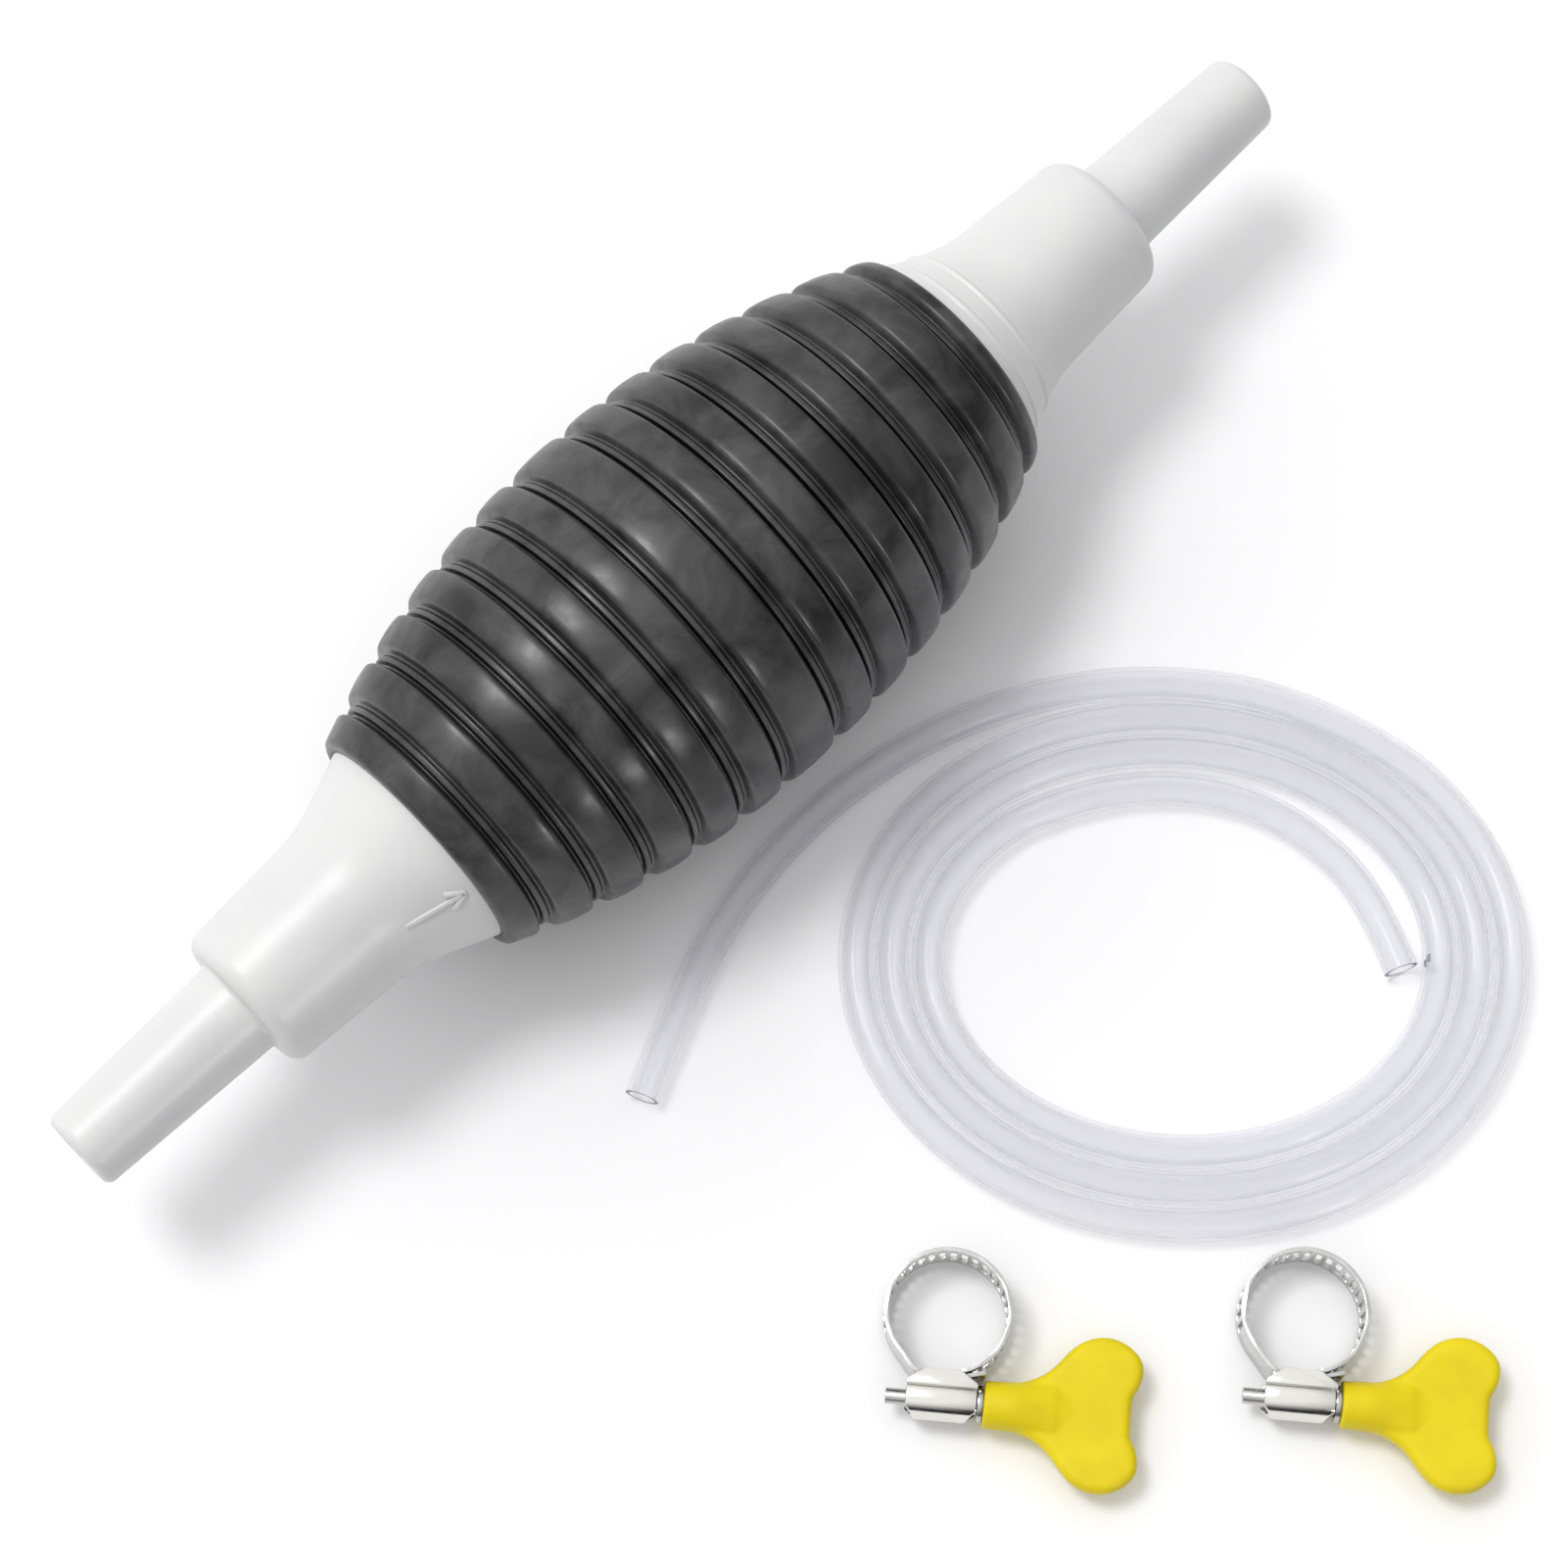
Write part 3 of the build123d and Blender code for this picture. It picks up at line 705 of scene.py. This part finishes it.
openness = addNode(tree, "MapRange", {"From Min": rubber["grooveSpread"][0],
                                      "From Max": rubber["grooveSpread"][1]},
                   {"Value": closedIn.outputs["AO"]})
colourWithPaintedShade = addNode(tree, "MixRGB", {"Color1": linear(rubber["groove"])},
                      {"Fac": openness.outputs["Result"], "Color2": cloudColour.outputs["Color"]})
tree.links.new(colourWithPaintedShade.outputs["Color"], shader.inputs["Base Color"])
tree.links.new(scuffed.outputs["Result"], shader.inputs["Roughness"])
shader.inputs["Specular IOR Level"].default_value = rubber["gloss"]
tree.links.new(skinBump.outputs["Normal"], shader.inputs["Normal"])
shader.inputs["IOR"].default_value = rubber["ior"]
wear(bulbPiece, material=rubberMaterial)


# a moulded plastic: colour that drifts a little with the flow, under a finely pitted skin
def plasticMaterial(name, plastic):
    material, tree, shader = newMaterial(name)
    where = addNode(tree, "TexCoord")
    flow = addNode(tree, "TexNoise", {"Scale": 1000 / plastic["flowSize"], "Detail": 3.0},
                   {"Vector": where.outputs["Object"]})
    flowColour = addNode(tree, "ValToRGB", links={"Fac": flow.outputs["Fac"]},
                         stops=[(plastic["flowSpread"][0], linear(plastic["shade"])),
                                (plastic["flowSpread"][1], linear(plastic["light"]))])
    skin = addNode(tree, "TexNoise", {"Scale": 1000 / plastic["skinSize"], "Detail": 2.0},
                   {"Vector": where.outputs["Object"]})
    skinBump = addNode(tree, "Bump", {"Strength": plastic["skinDepth"],
                                      "Distance": plastic["skinHeight"] * mm},
                       {"Height": skin.outputs["Fac"]})
    tree.links.new(flowColour.outputs["Color"], shader.inputs["Base Color"])
    tree.links.new(skinBump.outputs["Normal"], shader.inputs["Normal"])
    shader.inputs["Roughness"].default_value = plastic["roughness"]
    shader.inputs["Specular IOR Level"].default_value = plastic["gloss"]
    shader.inputs["IOR"].default_value = plastic["ior"]
    return material, shader


whitePlastic = {                  # moulded polypropylene: milky white, satin, a little light goes in
    "light": "DBDBDA",
    "shade": "D6D6D7",
    "flowSize": 14.0,
    "flowSpread": (0.35, 0.6),
    "skinSize": 0.6,
    "skinHeight": 0.006,
    "skinDepth": 0.25,
    "roughness": 0.36,
    "gloss": 0.5,
    "ior": 1.49,
    "glow": 0.15,                 # the share of light that goes in and comes out again
    "glowRadius": (1.0, 0.95, 0.9),
    "glowReach": 0.001,
}
whiteMaterial, shader = plasticMaterial("moulded white polypropylene", whitePlastic)
shader.inputs["Subsurface Weight"].default_value = whitePlastic["glow"]
shader.inputs["Subsurface Radius"].default_value = whitePlastic["glowRadius"]
shader.inputs["Subsurface Scale"].default_value = whitePlastic["glowReach"]
wear(*fittingPieces.values(), material=whiteMaterial)

clearTube = {                     # extruded clear vinyl: pale and see-through, denser towards its edges
    "tint": "EFEFFA",
    "clearness": 0.5,
    "faceAlpha": 0.11,
    "edgeAlpha": 0.42,
    "edgeBlend": 0.35,
    "roughness": (0.05, 0.14),
    "cloudSize": 6.0,
    "ior": 1.53,
}
tubeMaterial, tree, shader = newMaterial("extruded clear vinyl")
where = addNode(tree, "TexCoord")
haze = addNode(tree, "TexNoise", {"Scale": 1000 / clearTube["cloudSize"], "Detail": 3.0},
               {"Vector": where.outputs["Object"]})
hazy = addNode(tree, "MapRange", {"From Min": 0.35, "From Max": 0.65,
                                  "To Min": clearTube["roughness"][0],
                                  "To Max": clearTube["roughness"][1]}, {"Value": haze.outputs["Fac"]})
turnedAway = addNode(tree, "LayerWeight", {"Blend": clearTube["edgeBlend"]})
density = addNode(tree, "MapRange", {"To Min": clearTube["faceAlpha"], "To Max": clearTube["edgeAlpha"]},
                  {"Value": turnedAway.outputs["Facing"]})
tree.links.new(hazy.outputs["Result"], shader.inputs["Roughness"])
tree.links.new(density.outputs["Result"], shader.inputs["Alpha"])
shader.inputs["Base Color"].default_value = linear(clearTube["tint"])
shader.inputs["Transmission Weight"].default_value = clearTube["clearness"]
shader.inputs["IOR"].default_value = clearTube["ior"]
wear(hosePiece, material=tubeMaterial)

# the tube's sawn ends: the wall seen through its length, so a darker, frosted ring
cutVinyl = {
    "light": "A2A2AC",
    "shade": "84848F",
    "sawMark": 0.25,
    "roughness": 0.45,
    "flatness": 0.05,             # mm that a face of the cut may be off its plane
}
cutMaterial, tree, shader = newMaterial("cut vinyl edge")
where = addNode(tree, "TexCoord")
sawMarks = addNode(tree, "TexNoise", {"Scale": 1000 / cutVinyl["sawMark"], "Detail": 2.0},
                   {"Vector": where.outputs["Object"]})
cutColour = addNode(tree, "ValToRGB", links={"Fac": sawMarks.outputs["Fac"]},
                    stops=[(0.35, linear(cutVinyl["shade"])), (0.65, linear(cutVinyl["light"]))])
tree.links.new(cutColour.outputs["Color"], shader.inputs["Base Color"])
shader.inputs["Roughness"].default_value = cutVinyl["roughness"]
hosePiece.data.materials.append(cutMaterial)
for end, inner in ((centreLine[0], centreLine[1]), (centreLine[-1], centreLine[-2])):
    inwards = (inner - end).normalized()
    for face in hosePiece.data.polygons:
        offset = face.center - end
        if offset.length < hose["outside"] * mm and abs(offset.dot(inwards)) < cutVinyl["flatness"] * mm:
            face.material_index = 1

yellowPlastic = {                 # moulded polypropylene: strong lemon yellow, satin
    "light": "E6D210",
    "shade": "DFC910",
    "flowSize": 5.0,
    "flowSpread": (0.35, 0.65),
    "skinSize": 0.4,
    "skinHeight": 0.006,
    "skinDepth": 0.25,
    "roughness": 0.42,
    "gloss": 0.25,
    "ior": 1.49,
}
yellowMaterial, shader = plasticMaterial("moulded yellow polypropylene", yellowPlastic)
wear(*[pieces["key"] for pieces in clampPieces], material=yellowMaterial)


# steel with fine streaks in its gloss, and painted shade where two sheets nearly meet
def steelMaterial(name, finish):
    material, tree, shader = newMaterial(name)
    where = addNode(tree, "TexCoord")
    turned = addNode(tree, "Mapping", {"Rotation": (0, 0, -(layoutTurn + clampTurn)),
                                       "Scale": finish["stretch"]}, {"Vector": where.outputs["Object"]})
    streaks = addNode(tree, "TexNoise", {"Scale": 1000 / finish["streak"], "Detail": 3.0},
                      {"Vector": turned.outputs["Vector"]})
    gloss = addNode(tree, "MapRange", {"From Min": 0.3, "From Max": 0.7,
                                       "To Min": finish["roughness"][0],
                                       "To Max": finish["roughness"][1]},
                    {"Value": streaks.outputs["Fac"]})
    # painted shade: ambient occlusion darkens the colour in gaps, slots and where sheets meet
    crevice = addNode(tree, "AmbientOcclusion", {"samples": 8, "Distance": finish["crevice"] * mm})
    colour = addNode(tree, "ValToRGB", links={"Fac": crevice.outputs["AO"]},
                     stops=[(0.25, linear(finish["paintedCreviceShade"])), (0.8, linear(finish["bright"]))])
    tree.links.new(colour.outputs["Color"], shader.inputs["Base Color"])
    tree.links.new(gloss.outputs["Result"], shader.inputs["Roughness"])
    shader.inputs["Metallic"].default_value = 1.0
    return material


# the dark colour in each finish below is painted shade for the crevices
bandSteel = steelMaterial("rolled stainless strip", {   # a bright strip with rolling lines
    "bright": "C9C9C7", "paintedCreviceShade": "141414", "streak": 0.4, "stretch": (1, 1, 6),
    "roughness": (0.18, 0.32), "crevice": 1.4})
saddleSteel = steelMaterial("bright pressed steel", {   # a plated pressing, nearly a mirror
    "bright": "E2E0DA", "paintedCreviceShade": "2E2A20", "streak": 0.8, "stretch": (0.3, 1, 1),
    "roughness": (0.08, 0.18), "crevice": 0.9})
screwSteel = steelMaterial("zinc-plated steel", {       # cut and plated, a little duller
    "bright": "BDBCB8", "paintedCreviceShade": "22211F", "streak": 0.5, "stretch": (1, 1, 1),
    "roughness": (0.18, 0.3), "crevice": 0.5})
wear(*[pieces["band"] for pieces in clampPieces], material=bandSteel)
wear(*[pieces["housing"] for pieces in clampPieces], material=saddleSteel)
wear(*[pieces["screw"] for pieces in clampPieces], material=screwSteel)


# the finish of a small turned or moulded valve part, with faint mottling
def valveMaterial(name, light, shade, size, roughness, metallic=0.0):
    material, tree, shader = newMaterial(name)
    where = addNode(tree, "TexCoord")
    mottle = addNode(tree, "TexNoise", {"Scale": 1000 / size, "Detail": 3.0},
                     {"Vector": where.outputs["Object"]})
    colour = addNode(tree, "ValToRGB", links={"Fac": mottle.outputs["Fac"]},
                     stops=[(0.35, linear(shade)), (0.65, linear(light))])
    tree.links.new(colour.outputs["Color"], shader.inputs["Base Color"])
    shader.inputs["Roughness"].default_value = roughness
    shader.inputs["Metallic"].default_value = metallic
    return material


valveFinishes = {         # a name, its light and shade, mm across a mottle, roughness and metal
    "seat": valveMaterial("moulded grey nylon", "9A9A98", "8C8C8B", 1.5, 0.5),         # even and matt
    "retainer": valveMaterial("moulded grey nylon ring", "9A9A98", "8C8C8B", 1.5, 0.5),
    "ball": valveMaterial("ground acetal", "E4E4DF", "D8D8D2", 2.0, 0.28),              # milky, polished
}
# drawn wire: grey and bright, with the die's faint marks
springMaterial = valveMaterial("drawn spring wire", "B4B4B2", "9C9C9A", 0.5, 0.3, 1.0)
wear(*springPieces, material=springMaterial)
for end in ("inlet", "outlet"):
    for part, material in valveFinishes.items():
        wear(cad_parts[f"{end}_valve_{part}"], material=material)
print("materials")
